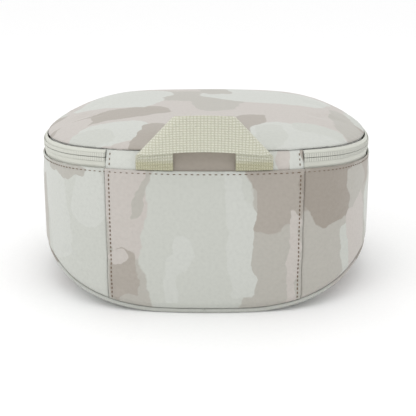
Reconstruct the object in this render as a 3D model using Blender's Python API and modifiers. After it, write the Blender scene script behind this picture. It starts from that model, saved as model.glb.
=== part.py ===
"""Insulated cooler bag: an oval lunch bag with a curved base, a zipped lid and a webbing handle.

Frame: metres, +Z up, the back of the bag (hinge strip and handle) towards -Y, the origin on the
floor under the middle of the base. An inset is a distance inwards from the outer face of the wall.
"""

import math

import bmesh
import bpy
from mathutils import Vector

# Overall sizes
WIDTH = 0.250            # left to right, outside the wall
DEPTH = 0.230            # back to front, outside the wall
WALL_TOP = 0.1020        # folded top edge of the wall, at the middle of the back
ZIP_BAND = 0.0134        # from the wall's top up to the lid's seam
LID_CROWN = 0.0068       # rise of the lid's middle above its seam
LID_FULLNESS = 3.2       # the higher, the sooner the lid rises from its seam

# Outline of the bag seen from above
CORNER_RADIUS = 0.0685
BACK_BOW = 0.0036        # how far the back and the front bulge from the corners
SIDE_BOW = 0.0133        # how far the sides bulge from the corners

# Curved base and drooping lid
BASE_RISE = 0.0243       # height of the base at the left and right ends
BASE_FLAT = 0.0320       # half width of the flat middle of the base
BASE_POWER = 1.7
LID_DROOP = 0.0085       # how far the lid seam comes down at the left and right ends
LID_LEVEL = 0.0625       # half width of the level middle of the lid seam
BASE_RIM = 0.0034        # height of the padded edge of the base panel
RIM_ROUND = 0.0026       # how far in the rounded edge of the base panel starts
RIM_SHOULDER = 0.0020    # height at which that edge reaches the wall's outline
RIM_KNUCKLE = 0.0008     # its halfway point: this far in and this far up

# Materials of the wall, from outside to inside
FABRIC = 0.0010
FOAM = 0.0050
LINER = 0.0008
GAP = 0.0003             # clearance between neighbouring layers
PLATE_GAP = 0.0006       # clearance between the curved base layers

# Zip band
ZIP_LINE_DROP = 0.0062   # zip line below the lid seam
ZIP_SPLIT = 0.0012       # clear height between the two rows of teeth
COIL_HEIGHT = 0.0024
COIL_THICK = 0.0020
COIL_INSET = 0.0006
TAPE = 0.0008
TAPE_LAP = 0.0090        # tape hidden behind the top of the wall
LID_INSET = 0.0041       # lid seam, inside the outline of the wall
HINGE_HALF = 0.0670      # half width of the back panel and of the hinge strip
BINDING_DROP = 0.0020    # binding of the mouth, below the wall's top
BINDING_IN = 0.0040      # outer face of the binding of the mouth
LID_BINDING_HEIGHT = 0.0022
LID_BINDING = 0.0014

# Handle webbing
WEBBING_WIDTH = 0.0250
WEBBING = 0.0016
HANDLE_CENTRE = 0.0332   # middle of each sewn end
HANDLE_CORNER = 0.0044   # height at which the webbing's outer edge starts to fold
FOLD_ANGLE = math.radians(48)
FOLD_RADIUS = 0.0036
HANDLE_LEAN = math.radians(9)
HANDLE_ARCH = 0.0240     # half length of the arched middle
HANDLE_PROUD = 0.0001    # sewn ends, inside the outer face of the wall

# Zip sliders and pull tabs
SLIDER_LENGTH = 0.0094
SLIDER_HEIGHT = 0.0066
SLIDER_PLATE = 0.0010
SLIDER_SPACING = 0.0052  # each slider's middle from the middle of the front
SLIDER_POST = 0.0006
SLIDER_POST_LENGTH = 0.0026
BRIDGE_LENGTH = 0.0060
BRIDGE_WIDTH = 0.0016
BRIDGE_HEIGHT = 0.0026
BRIDGE_BAR = 0.0009
BRIDGE_SINK = 0.0004     # how deep the bridge's legs go into the plate
PULL_LENGTH = 0.0200
PULL_WIDTH = 0.0056
PULL_THICK = 0.0010
PULL_EYE_WIDTH = 0.0026
PULL_EYE_LENGTH = 0.0044
PULL_CROSSBAR = 0.0010
PULL_SOFT = 0.0002       # softened edges of the tab

HALF_WIDTH = WIDTH / 2
HALF_DEPTH = DEPTH / 2
LID_SEAM = WALL_TOP + ZIP_BAND           # seam round the top of the zip band
ZIP_LINE = LID_SEAM - ZIP_LINE_DROP
TAPE_BEND = ZIP_LINE + SLIDER_HEIGHT / 2 + GAP
INNER = FABRIC + GAP                     # outer face of the foam
LINER_IN = INNER + FOAM + GAP            # outer face of the liner
TAPE_IN = COIL_INSET + COIL_THICK + GAP  # outer face of the zip tape at the teeth
FLOOR_FOAM = FABRIC + PLATE_GAP          # underside of the base foam
FLOOR_LINER = FLOOR_FOAM + FOAM + GAP    # underside of the base liner
WALL_FOOT = FLOOR_LINER                  # foot of the wall foam and wall liner
FOAM_TOP = WALL_TOP - TAPE_LAP - 2 * GAP
SLIDER_IN = TAPE_IN + TAPE + GAP         # outer face of the sliders' inner plates
LID_PAD_IN = max(LID_INSET + TAPE + 2 * GAP, SLIDER_IN + SLIDER_PLATE + 2 * GAP)

# The outline's arcs: a corner of CORNER_RADIUS between a flat side arc and a flat back arc
CORNER_X = HALF_WIDTH - CORNER_RADIUS - SIDE_BOW
CORNER_Y = HALF_DEPTH - CORNER_RADIUS - BACK_BOW
BACK_RADIUS = (CORNER_X ** 2 + BACK_BOW ** 2) / (2 * BACK_BOW) + CORNER_RADIUS
SIDE_RADIUS = (CORNER_Y ** 2 + SIDE_BOW ** 2) / (2 * SIDE_BOW) + CORNER_RADIUS
BACK_CENTRE = HALF_DEPTH - BACK_RADIUS
SIDE_CENTRE = HALF_WIDTH - SIDE_RADIUS
SIDE_END = math.asin(CORNER_Y / (SIDE_RADIUS - CORNER_RADIUS))
CORNER_END = math.pi / 2 - math.asin(CORNER_X / (BACK_RADIUS - CORNER_RADIUS))

LID_AXIS = Vector((0, -HALF_DEPTH + LID_INSET - GAP, LID_SEAM - FABRIC))
HANDLE_AXIS = Vector((0, -HALF_DEPTH - WEBBING, WALL_TOP + GAP + WEBBING / 2))
ARC_CENTRE = Vector((0, BACK_CENTRE, 0))


def clear_scene():
    for old in list(bpy.data.objects):
        bpy.data.objects.remove(old, do_unlink=True)


def make_collection(name):
    collection = bpy.data.collections.new(name)
    bpy.context.scene.collection.children.link(collection)
    return collection


def make_material(name, colour, roughness, metallic=0.0):
    material = bpy.data.materials.new(name)
    material.use_nodes = True
    shader = material.node_tree.nodes["Principled BSDF"]
    shader.inputs["Base Color"].default_value = (*colour, 1.0)
    shader.inputs["Roughness"].default_value = roughness
    shader.inputs["Metallic"].default_value = metallic
    return material


def ramp(distance, start, end):
    """0 up to start, then rising evenly to 1 at end."""
    return min(max((abs(distance) - start) / (end - start), 0.0), 1.0)


def base_height(x):
    """Height of the base's underside at x."""
    return BASE_RISE * ramp(x, BASE_FLAT, HALF_WIDTH) ** BASE_POWER


def lid_droop(x):
    """How far the lid seam, the zip and the wall's top come down at x."""
    return LID_DROOP * ramp(x, LID_LEVEL, HALF_WIDTH) ** 2


def outline(angle, inset=0.0):
    """Point of the outline whose outward direction has this angle, moved inwards by inset."""
    quarter = abs(math.atan2(math.sin(angle), math.cos(angle)))
    quarter = math.pi - quarter if quarter > math.pi / 2 else quarter
    if quarter <= SIDE_END:
        centre, radius = (SIDE_CENTRE, 0.0), SIDE_RADIUS
    elif quarter <= CORNER_END:
        centre, radius = (CORNER_X, CORNER_Y), CORNER_RADIUS
    else:
        centre, radius = (0.0, BACK_CENTRE), BACK_RADIUS
    x = centre[0] + (radius - inset) * math.cos(quarter)
    y = centre[1] + (radius - inset) * math.sin(quarter)
    return math.copysign(x, math.cos(angle)), math.copysign(y, math.sin(angle))


def hinge_angle():
    """Outline angle, measured from the right-hand side, of the seam HINGE_HALF from the middle."""
    if HINGE_HALF <= BACK_RADIUS * math.cos(CORNER_END):
        return math.acos(HINGE_HALF / BACK_RADIUS)
    return math.acos((HINGE_HALF - CORNER_X) / CORNER_RADIUS)


def spread(start, end):
    """Evenly spaced angles from start to end, finer on the flat arcs, where a degree is longer."""
    middle = abs(math.sin((start + end) / 2))
    step = 8.5
    if middle > math.sin(CORNER_END):
        step = 3.4
    elif middle < math.sin(SIDE_END):
        step = 5.0
    count = max(1, math.ceil((end - start) / math.radians(step) - 1e-6))
    return [start + (end - start) * i / count for i in range(count)]


def ring_angles():
    """The shared angles of every layer, a turn and a half either way, on each seam and arc joint."""
    joints = (0.0, SIDE_END, CORNER_END, hinge_angle())
    marks = {sign * mark for mark in joints for sign in (-1, 1)}
    marks = sorted({mark + half * math.pi for mark in marks for half in range(-3, 4)})
    angles = []
    for low, high in zip(marks, marks[1:]):
        angles += spread(low, high)
    return angles


def stations(start, end):
    """Outline angles from start to end, on the shared angles in between, so that layers stay parallel."""
    least = 3 * GAP / CORNER_RADIUS
    return [start] + [a for a in ring_angles() if start + least < a < end - least] + [end]


def add_piece(mesh_data, name, material, collection, pivot=Vector((0, 0, 0))):
    """Finish a bmesh as a named object whose origin is at pivot."""
    bmesh.ops.recalc_face_normals(mesh_data, faces=mesh_data.faces)
    bmesh.ops.translate(mesh_data, verts=mesh_data.verts, vec=-pivot)
    mesh = bpy.data.meshes.new(name)
    mesh_data.to_mesh(mesh)
    mesh_data.free()
    mesh.materials.append(material)
    piece = bpy.data.objects.new(name, mesh)
    piece.location = pivot
    collection.objects.link(piece)
    return piece


def bent_sheet(columns, rows, place):
    """A grid of columns by rows faces whose points are set by place(column, row)."""
    sheet = bmesh.new()
    bmesh.ops.create_grid(sheet, x_segments=columns, y_segments=rows, size=1)
    for point in sheet.verts:
        column = round((point.co.x + 1) / 2 * columns)
        row = round((point.co.y + 1) / 2 * rows)
        point.co = place(column, row)
    bmesh.ops.remove_doubles(sheet, verts=sheet.verts, dist=1e-5)
    return sheet


def extrude_down(sheet, depth):
    """Close a sheet into a plate whose underside lies depth below it."""
    faces = bmesh.ops.extrude_face_region(sheet, geom=sheet.faces[:])
    moved = [item for item in faces["geom"] if isinstance(item, bmesh.types.BMVert)]
    bmesh.ops.translate(sheet, verts=moved, vec=(0, 0, -depth))


def sweep(mesh_data, angles, section, closed):
    """Carry a closed section of (inset, height function) points along the outline, and return its loops."""
    loops = []
    for angle in angles[:-1] if closed else angles:
        loop = []
        for inset, height in section:
            x, y = outline(angle, inset)
            loop.append(mesh_data.verts.new((x, y, height(x))))
        loops.append(loop)
    return loops


def skin(mesh_data, loops, closed, sides):
    """Faces between neighbouring loops, over the given number of the section's sides."""
    for here, there in zip(loops, loops[1:] + loops[:1] if closed else loops[1:]):
        for i in range(sides):
            j = (i + 1) % len(here)
            mesh_data.faces.new((here[i], there[i], there[j], here[j]))


def band(name, angles, rows, thickness, material, collection, pivot=Vector((0, 0, 0))):
    """A strip that follows the outline: rows are (inset, height function), thickness goes inwards."""
    strip = bmesh.new()
    closed = angles[-1] - angles[0] > 2 * math.pi - 1e-6
    section = rows + [(inset + thickness, height) for inset, height in reversed(rows)]
    loops = sweep(strip, angles, section, closed)
    skin(strip, loops, closed, len(section))
    if not closed:
        for end in (loops[0], loops[-1]):
            for i in range(len(rows) - 1):
                last = len(section) - 1
                strip.faces.new((end[i], end[i + 1], end[last - i - 1], end[last - i]))
    return add_piece(strip, name, material, collection, pivot)


def base_plate(inset, top):
    """The upper face of a base layer: strips across the bag between facing points of the outline."""
    angles = stations(0.0, math.pi)

    def place(column, row):
        x, y = outline(angles[column], inset)
        return Vector((x, y if row else -y, top + base_height(x)))

    return bent_sheet(len(angles) - 1, 1, place)


def lid_plate(inset, top):
    """The upper face of a lid layer: rings from the seam in to the middle of the crown."""
    angles = stations(-math.pi, math.pi)
    rings = 5

    def place(column, row):
        reach = 1 - row / rings
        x, y = outline(angles[column], inset)
        x, y = x * reach, y * reach
        return Vector((x, y, top - lid_droop(x) + LID_CROWN * (1 - reach ** LID_FULLNESS)))

    return bent_sheet(len(angles) - 1, rings, place)


def following(height):
    """Height function of an edge that droops with the lid."""
    return lambda x: height - lid_droop(x)


def resting(height):
    """Height function of an edge that rises with the base."""
    return lambda x: height + base_height(x)


def close_across(mesh_data, ring):
    """Strips across the bag between the facing points of a ring that starts at its left end."""
    count = len(ring)
    for i in range(count // 2):
        corners = [ring[i], ring[i + 1], ring[count - i - 1], ring[(count - i) % count]]
        mesh_data.faces.new(list(dict.fromkeys(corners)))


def build_base(parts, fabric, foam, liner):
    angles = stations(-math.pi, math.pi)
    outside = [(RIM_ROUND, 0.0), (RIM_KNUCKLE, RIM_KNUCKLE), (0.0, RIM_SHOULDER), (0.0, BASE_RIM)]
    inside = [(FABRIC, BASE_RIM), (FABRIC, BASE_RIM - FABRIC), (RIM_ROUND, FABRIC)]
    section = [(inset, resting(height)) for inset, height in outside + inside]
    tray = bmesh.new()
    loops = sweep(tray, angles, section, True)
    skin(tray, loops, True, len(section) - 1)
    close_across(tray, [loop[0] for loop in loops])
    close_across(tray, [loop[-1] for loop in loops])
    bmesh.ops.dissolve_limit(tray, angle_limit=1e-4, verts=tray.verts[:], edges=tray.edges[:])
    add_piece(tray, "base_panel", fabric, parts)

    pad = base_plate(INNER + 2 * PLATE_GAP, FLOOR_FOAM + FOAM)
    extrude_down(pad, FOAM)
    add_piece(pad, "base_foam", foam, parts)

    floor = base_plate(LINER_IN + LINER + GAP, FLOOR_LINER + LINER)
    extrude_down(floor, LINER)
    add_piece(floor, "base_liner", liner, parts)


def build_wall(parts, fabric, foam, liner, binding):
    seam = hinge_angle()
    gap = GAP / CORNER_RADIUS / 2
    wall = [(0.0, resting(BASE_RIM + GAP)), (0.0, following(WALL_TOP))]
    padding = [(INNER, resting(WALL_FOOT)), (INNER, following(FOAM_TOP))]
    lining = [(LINER_IN, resting(WALL_FOOT)), (LINER_IN, following(FOAM_TOP))]
    band("back_wall_panel", stations(-math.pi + seam + gap, -seam - gap), wall, FABRIC, fabric, parts)
    band("side_wall_panel", stations(-seam + gap, math.pi + seam - gap), wall, FABRIC, fabric, parts)
    whole = stations(-math.pi, math.pi)
    band("wall_foam", whole, padding, FOAM, foam, parts)
    band("wall_liner", whole, lining, LINER, liner, parts)
    width = LINER_IN + LINER - BINDING_IN
    rim = [(BINDING_IN, following(FOAM_TOP + GAP)), (BINDING_IN, following(WALL_TOP - BINDING_DROP))]
    band("mouth_binding", whole, rim, width, binding, parts)


def tape_inset(height):
    """Outer face of the zip band: upright past the sliders, then leaning in to the lid seam."""
    lean = min(max((height - TAPE_BEND) / (LID_SEAM - FABRIC - TAPE_BEND), 0.0), 1.0)
    return TAPE_IN + (LID_INSET + GAP - TAPE_IN) * lean


def build_zip(parts, tape, coil):
    seam = hinge_angle() - 2 * GAP / CORNER_RADIUS
    arc = stations(-seam, math.pi + seam)
    split = ZIP_SPLIT / 2
    low, high = ZIP_LINE - split, ZIP_LINE + split
    top = LID_SEAM - FABRIC - GAP
    lower = [(TAPE_IN, following(WALL_TOP - TAPE_LAP)), (TAPE_IN, following(low))]
    upper = [(tape_inset(h), following(h)) for h in (high, TAPE_BEND, top)]
    lower_teeth = [(COIL_INSET, following(low - COIL_HEIGHT)), (COIL_INSET, following(low))]
    upper_teeth = [(COIL_INSET, following(high)), (COIL_INSET, following(high + COIL_HEIGHT))]
    band("lower_zip_tape", arc, lower, TAPE, tape, parts)
    band("lower_zip_teeth", arc, lower_teeth, COIL_THICK, coil, parts)
    band("upper_zip_tape", arc, upper, TAPE, tape, parts, LID_AXIS)
    band("upper_zip_teeth", arc, upper_teeth, COIL_THICK, coil, parts, LID_AXIS)


def strip_inset(height):
    """Outer face of the hinge strip: just inside the wall panel, leaning in to the lid seam."""
    lean = min(max((height - WALL_TOP) / (LID_SEAM - FABRIC - WALL_TOP), 0.0), 1.0)
    return INNER + (LID_INSET + GAP - INNER) * lean


def build_hinge(parts, fabric, liner):
    seam = hinge_angle() + GAP / CORNER_RADIUS
    arc = stations(-math.pi + seam, -seam)
    top = LID_SEAM - FABRIC - GAP
    lining_top = LID_SEAM - FABRIC - FOAM - LINER - 6 * GAP
    heights = (WALL_TOP - TAPE_LAP, WALL_TOP, top)
    strip = [(strip_inset(h), following(h)) for h in heights]
    band("hinge_strip", arc, strip, TAPE, fabric, parts)
    behind = TAPE + GAP
    lining = [(strip_inset(h) + behind, following(h)) for h in (WALL_TOP - BINDING_DROP + GAP, lining_top)]
    band("hinge_lining", arc, lining, LINER, liner, parts)


def build_lid(parts, fabric, foam, liner, binding):
    cover = lid_plate(LID_INSET, LID_SEAM)
    extrude_down(cover, FABRIC)
    add_piece(cover, "lid_panel", fabric, parts, LID_AXIS)

    inset = LID_PAD_IN
    pad = lid_plate(inset, LID_SEAM - FABRIC - GAP)
    extrude_down(pad, FOAM)
    add_piece(pad, "lid_foam", foam, parts, LID_AXIS)

    under = LID_SEAM - FABRIC - FOAM - 2 * GAP
    lining = lid_plate(inset, under)
    extrude_down(lining, LINER)
    add_piece(lining, "lid_liner", liner, parts, LID_AXIS)

    edge_top = under - LINER - GAP
    edge = [(inset, following(edge_top - LID_BINDING_HEIGHT)), (inset, following(edge_top))]
    band("lid_binding", stations(-math.pi, math.pi), edge, LID_BINDING, binding, parts, LID_AXIS)


def webbing_point(across, along, layer):
    """Left half of the handle: across from the outer edge, along from the sewn end, layer from the middle.

    The webbing rises from its sewn end, rolls forwards over a slanted line and runs on to the middle.
    """
    left = -HANDLE_CENTRE - WEBBING_WIDTH / 2
    fold = Vector((math.cos(FOLD_ANGLE), math.sin(FOLD_ANGLE)))
    normal = Vector((-fold.y, fold.x))
    flat = Vector((across, along - HANDLE_CORNER))
    past = flat.dot(normal)
    shift = flat.dot(fold)
    roll = math.pi * FOLD_RADIUS
    if past <= 0:
        depth, lead, facing = -layer, past, 0.0
    elif past < roll:
        turn = past / FOLD_RADIUS
        facing = turn
        lead = (FOLD_RADIUS + layer) * math.sin(turn)
        depth = FOLD_RADIUS - (FOLD_RADIUS + layer) * math.cos(turn)
    else:
        depth, lead, facing = 2 * FOLD_RADIUS + layer, roll - past, math.pi
    flat = fold * shift + normal * lead
    x = left + flat.x
    height = HANDLE_CORNER + flat.y
    if past > 0 and x > -HANDLE_ARCH:
        slope = math.tan(2 * FOLD_ANGLE - math.pi / 2)
        height -= slope * (x + HANDLE_ARCH) ** 2 / (2 * HANDLE_ARCH)
    return x, height, depth


def handle_reach(across):
    """Length of webbing from the sewn end to the middle of the bag, this far from its outer edge."""
    side = HANDLE_CENTRE + WEBBING_WIDTH / 2 - across * math.cos(2 * FOLD_ANGLE)
    roll = math.pi * FOLD_RADIUS * math.sin(FOLD_ANGLE)
    return HANDLE_CORNER + (side + roll) / math.sin(2 * FOLD_ANGLE)


def build_handle(parts, material):
    columns, rows = 5, 44
    foot = Vector((0, -HALF_DEPTH + HANDLE_PROUD, WALL_TOP + GAP))

    def place(layer):
        def point(column, row):
            across = WEBBING_WIDTH * column / columns
            x, height, depth = webbing_point(across, handle_reach(across) * row / rows, layer)
            bow = BACK_RADIUS - math.sqrt(BACK_RADIUS ** 2 - x ** 2)
            y = foot.y + bow - height * math.sin(HANDLE_LEAN) - depth * math.cos(HANDLE_LEAN)
            z = foot.z + height * math.cos(HANDLE_LEAN) - depth * math.sin(HANDLE_LEAN)
            return Vector((x, y, z + WEBBING / 2 * math.sin(HANDLE_LEAN)))

        return point

    strap = bmesh.new()
    skins = []
    for layer in (-WEBBING / 2, WEBBING / 2):
        point = place(layer)
        skins.append([[strap.verts.new(point(c, r)) for c in range(columns + 1)] for r in range(rows + 1)])
    loops = [skins[0][r] + skins[1][r][::-1] for r in range(rows + 1)]
    for here, there in zip(loops, loops[1:]):
        for i in range(len(here)):
            j = (i + 1) % len(here)
            strap.faces.new((here[i], there[i], there[j], here[j]))
    strap.faces.new(loops[0])
    bmesh.ops.triangulate(strap, faces=strap.faces[:])
    handle = add_piece(strap, "carry_handle", material, parts, HANDLE_AXIS)
    halves = handle.modifiers.new("other half", "MIRROR")
    halves.use_axis = (True, False, False)
    halves.merge_threshold = GAP / 30
    return handle


def block(size, centre):
    """A bmesh box."""
    box = bmesh.new()
    bmesh.ops.create_cube(box, size=1.0)
    bmesh.ops.scale(box, vec=size, verts=box.verts)
    bmesh.ops.translate(box, vec=centre, verts=box.verts)
    return box


def helper_object(box, name, collection):
    mesh = bpy.data.meshes.new(name)
    box.to_mesh(mesh)
    box.free()
    helper = bpy.data.objects.new(name, mesh)
    helper.hide_render = True
    helper.display_type = "WIRE"
    collection.objects.link(helper)
    return helper


def combine(piece, helper, operation):
    change = piece.modifiers.new(helper.name, "BOOLEAN")
    change.operation = operation
    change.object = helper
    change.solver = "EXACT"


def slider_outer():
    """Outer face of the slider's outer plate, inwards from the outline."""
    return COIL_INSET - GAP - SLIDER_PLATE


def build_slider(parts, cutters, side, metal):
    """A slider on the zip at the front; y runs inwards to outwards from the arc's centre."""
    name = "left_zip_slider" if side < 0 else "right_zip_slider"
    outer = BACK_RADIUS - slider_outer()
    inner = BACK_RADIUS - SLIDER_IN
    pivot = bpy.data.objects.new(name + "_pivot", None)
    pivot.location = ARC_CENTRE + Vector((0, 0, ZIP_LINE))
    pivot.rotation_euler.z = -side * SLIDER_SPACING / BACK_RADIUS
    parts.objects.link(pivot)

    plate = (SLIDER_LENGTH, SLIDER_PLATE, SLIDER_HEIGHT)
    slider = add_piece(block(plate, (0, outer - SLIDER_PLATE / 2, 0)), name, metal, parts)
    slider.parent = pivot
    post = (SLIDER_POST_LENGTH, outer - inner + SLIDER_PLATE, SLIDER_POST)
    leg = (BRIDGE_BAR, BRIDGE_HEIGHT + BRIDGE_SINK, BRIDGE_WIDTH)
    bar = (BRIDGE_LENGTH, BRIDGE_BAR, BRIDGE_WIDTH)
    half = (BRIDGE_LENGTH - BRIDGE_BAR) / 2
    leg_middle = outer + (BRIDGE_HEIGHT - BRIDGE_SINK) / 2
    extras = {
        "inner_plate": (plate, (0, inner - SLIDER_PLATE / 2, 0)),
        "post": (post, (0, (outer + inner - SLIDER_PLATE) / 2, 0)),
        "bridge_leg": (leg, (half, leg_middle, 0)),
        "bridge_foot": (leg, (-half, leg_middle, 0)),
        "bridge_bar": (bar, (0, outer + BRIDGE_HEIGHT - BRIDGE_BAR / 2, 0)),
    }
    for label, (size, centre) in extras.items():
        helper = helper_object(block(size, centre), name + "_" + label, cutters)
        helper.parent = pivot
        combine(slider, helper, "UNION")
    return slider, outer


def build_pull(parts, cutters, slider, outer, side, metal):
    """A flat tab whose cross bar turns under the slider's bridge, lying away from the middle."""
    name = "left_zip_pull" if side < 0 else "right_zip_pull"
    middle = side * (PULL_LENGTH - PULL_CROSSBAR) / 2
    tab = add_piece(block((PULL_LENGTH, PULL_THICK, PULL_WIDTH), (middle, 0, 0)), name, metal, parts)
    tab.location = (0, outer + (BRIDGE_HEIGHT - BRIDGE_BAR) / 2, 0)
    tab.parent = slider
    window = (PULL_EYE_LENGTH, PULL_THICK * 3, PULL_EYE_WIDTH)
    beside = (side * (PULL_EYE_LENGTH + PULL_CROSSBAR) / 2, 0, 0)
    eye = helper_object(block(window, beside), name + "_eye", cutters)
    eye.location = tab.location
    eye.parent = slider
    combine(tab, eye, "DIFFERENCE")
    soft = tab.modifiers.new("soft edges", "BEVEL")
    soft.width = PULL_SOFT
    soft.segments = 1
    soft.limit_method = "ANGLE"


def main():
    clear_scene()
    parts = make_collection("insulated_cooler_bag")
    cutters = make_collection("cutters")
    fabric = make_material("printed_polyester", (0.62, 0.58, 0.53), 0.75)
    foam = make_material("closed_cell_foam", (0.85, 0.85, 0.84), 0.9)
    liner = make_material("foil_liner", (0.72, 0.73, 0.74), 0.35, 0.6)
    tape = make_material("zip_tape", (0.70, 0.72, 0.62), 0.8)
    coil = make_material("nylon_coil", (0.72, 0.74, 0.64), 0.4)
    webbing = make_material("webbing", (0.70, 0.70, 0.55), 0.8)
    binding = make_material("binding_tape", (0.60, 0.61, 0.52), 0.85)
    metal = make_material("painted_zinc", (0.68, 0.70, 0.62), 0.35, 0.4)

    build_base(parts, fabric, foam, liner)
    build_wall(parts, fabric, foam, liner, binding)
    build_zip(parts, tape, coil)
    build_hinge(parts, fabric, liner)
    build_lid(parts, fabric, foam, liner, binding)
    build_handle(parts, webbing)
    for side in (-1, 1):
        slider, outer = build_slider(parts, cutters, side, metal)
        build_pull(parts, cutters, slider, outer, side, metal)


main()
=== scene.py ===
"""Insulated cooler bag: its sewn panels, zip, handle, stitching and lining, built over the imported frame.

The back of the bag, with the hinge strip and the handle, is towards -Y. An inset is a distance inwards from
the outer face of the wall, and "round" is a distance along the wall's outline from the middle of the back.
"""
import math

import bmesh
import bpy
from bpy.props import FloatProperty, FloatVectorProperty, PointerProperty
from mathutils import Matrix, Vector, noise


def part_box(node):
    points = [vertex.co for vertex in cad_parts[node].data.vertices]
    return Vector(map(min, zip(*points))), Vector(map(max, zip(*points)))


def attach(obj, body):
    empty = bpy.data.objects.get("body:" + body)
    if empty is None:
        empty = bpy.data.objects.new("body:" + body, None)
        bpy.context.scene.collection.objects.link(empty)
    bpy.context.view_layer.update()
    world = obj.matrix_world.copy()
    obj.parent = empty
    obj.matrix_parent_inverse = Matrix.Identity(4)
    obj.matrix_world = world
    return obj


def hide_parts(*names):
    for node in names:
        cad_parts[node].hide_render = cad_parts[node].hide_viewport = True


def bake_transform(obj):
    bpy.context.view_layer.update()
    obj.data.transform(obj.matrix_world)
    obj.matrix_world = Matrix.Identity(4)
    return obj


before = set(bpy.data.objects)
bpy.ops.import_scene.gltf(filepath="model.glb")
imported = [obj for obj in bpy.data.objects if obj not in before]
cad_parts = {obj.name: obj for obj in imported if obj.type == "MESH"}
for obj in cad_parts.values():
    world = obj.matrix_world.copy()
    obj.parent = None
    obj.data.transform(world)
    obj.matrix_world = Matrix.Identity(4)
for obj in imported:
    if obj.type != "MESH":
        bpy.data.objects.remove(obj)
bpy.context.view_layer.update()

bl_info = {
    "name": "Insulated Cooler Bag",
    "version": (1, 0, 0),
    "blender": (4, 5, 0),
    "location": "View3D > Sidebar > Cooler Bag",
    "description": "Builds the cooler bag's panels, zip, handle and lining",
    "category": "Object",
}


def extent(name, axis):
    low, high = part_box(name)
    return high[axis] - low[axis]


LID_CROWN = 0.0068
LID_FULLNESS = 3.2
WIDTH = extent("side_wall_panel", 0)
DEPTH = extent("base_panel", 1)
WALL_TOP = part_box("back_wall_panel")[1][2]
LID_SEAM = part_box("lid_panel")[1][2] - LID_CROWN

# Outline of the bag seen from above, its curved base and its drooping lid
CORNER_RADIUS = 0.0685
BACK_BOW = 0.0036
SIDE_BOW = 0.0133
BASE_RISE = 0.0243
BASE_FLAT = 0.0320
BASE_POWER = 1.7
BASE_RIM = 0.0034
LID_DROOP = 0.0085
LID_LEVEL = 0.0625
LID_INSET = 0.0041
HINGE_HALF = 0.0670

# Layers of the wall
FABRIC = 0.0010
FOAM = 0.0050
LINER = 0.0008
GAP = 0.0003
PLATE_GAP = 0.0006
LINER_IN = FABRIC + GAP + FOAM + GAP
FLOOR_LINER = FABRIC + PLATE_GAP + FOAM + GAP
TAPE_LAP = 0.0090
FOAM_TOP = WALL_TOP - TAPE_LAP - 2 * GAP
BINDING_DROP = 0.0020
BINDING_IN = 0.0040
LID_PAD_IN = 0.0056

# Zip
ZIP_LINE = LID_SEAM - 0.0062
TAPE = 0.0008
TAPE_BEND = ZIP_LINE + 0.0036
SLIDER_SPACING = 0.0052
SLIDER_PLATE = 0.0010
PULL_LENGTH = 0.0200
BRIDGE_HEIGHT = 0.0026
BRIDGE_BAR = 0.0009

# Handle
WEBBING_WIDTH = 0.0250
WEBBING = 0.0016
HANDLE_CENTRE = 0.0332
HANDLE_CORNER = 0.0044
FOLD_ANGLE = math.radians(48)
FOLD_RADIUS = 0.0036
HANDLE_LEAN = math.radians(9)
HANDLE_ARCH = 0.0240

HALF_WIDTH = WIDTH / 2
HALF_DEPTH = DEPTH / 2
CORNER_X = HALF_WIDTH - CORNER_RADIUS - SIDE_BOW
CORNER_Y = HALF_DEPTH - CORNER_RADIUS - BACK_BOW
BACK_RADIUS = (CORNER_X ** 2 + BACK_BOW ** 2) / (2 * BACK_BOW) + CORNER_RADIUS
SIDE_RADIUS = (CORNER_Y ** 2 + SIDE_BOW ** 2) / (2 * SIDE_BOW) + CORNER_RADIUS
BACK_CENTRE = HALF_DEPTH - BACK_RADIUS
SIDE_CENTRE = HALF_WIDTH - SIDE_RADIUS
SIDE_END = math.asin(CORNER_Y / (SIDE_RADIUS - CORNER_RADIUS))
CORNER_END = math.pi / 2 - math.asin(CORNER_X / (BACK_RADIUS - CORNER_RADIUS))
BACK_LENGTH = BACK_RADIUS * (math.pi / 2 - CORNER_END)
CORNER_LENGTH = CORNER_RADIUS * (CORNER_END - SIDE_END)
QUARTER = BACK_LENGTH + CORNER_LENGTH + SIDE_RADIUS * SIDE_END
ROUND = 4 * QUARTER
SEAM = BACK_LENGTH + CORNER_RADIUS * (CORNER_END - math.acos((HINGE_HALF - CORNER_X) / CORNER_RADIUS))

# Sewing
STITCH_DROP = 0.0023     # topstitching below the wall's folded edge
STITCH_IN = 0.0025       # topstitching inside the back panel's folded edges
STITCH_PROUD = 0.0001
CLOTH = 0.0008           # printed cloth of the padded panels
THIN_CLOTH = 0.0006      # hinge strip and lining film
SWELL_FRAMES = 20


# ---------------------------------------------------------------- shapes

def ramp(distance, start, end):
    return min(max((abs(distance) - start) / (end - start), 0.0), 1.0)


def smooth(value, low, high):
    """0 below low, 1 above high, with a soft slope between."""
    t = min(max((value - low) / (high - low), 0.0), 1.0)
    return t * t * (3 - 2 * t)


def bump(value, centre, width):
    return math.exp(-((value - centre) / width) ** 2)


def base_height(x):
    return BASE_RISE * ramp(x, BASE_FLAT, HALF_WIDTH) ** BASE_POWER


def lid_droop(x):
    return LID_DROOP * ramp(x, LID_LEVEL, HALF_WIDTH) ** 2


def wall_ends(x):
    """Heights of the wall's lower and upper edge."""
    return BASE_RIM + GAP + base_height(x), WALL_TOP - lid_droop(x)


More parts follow.
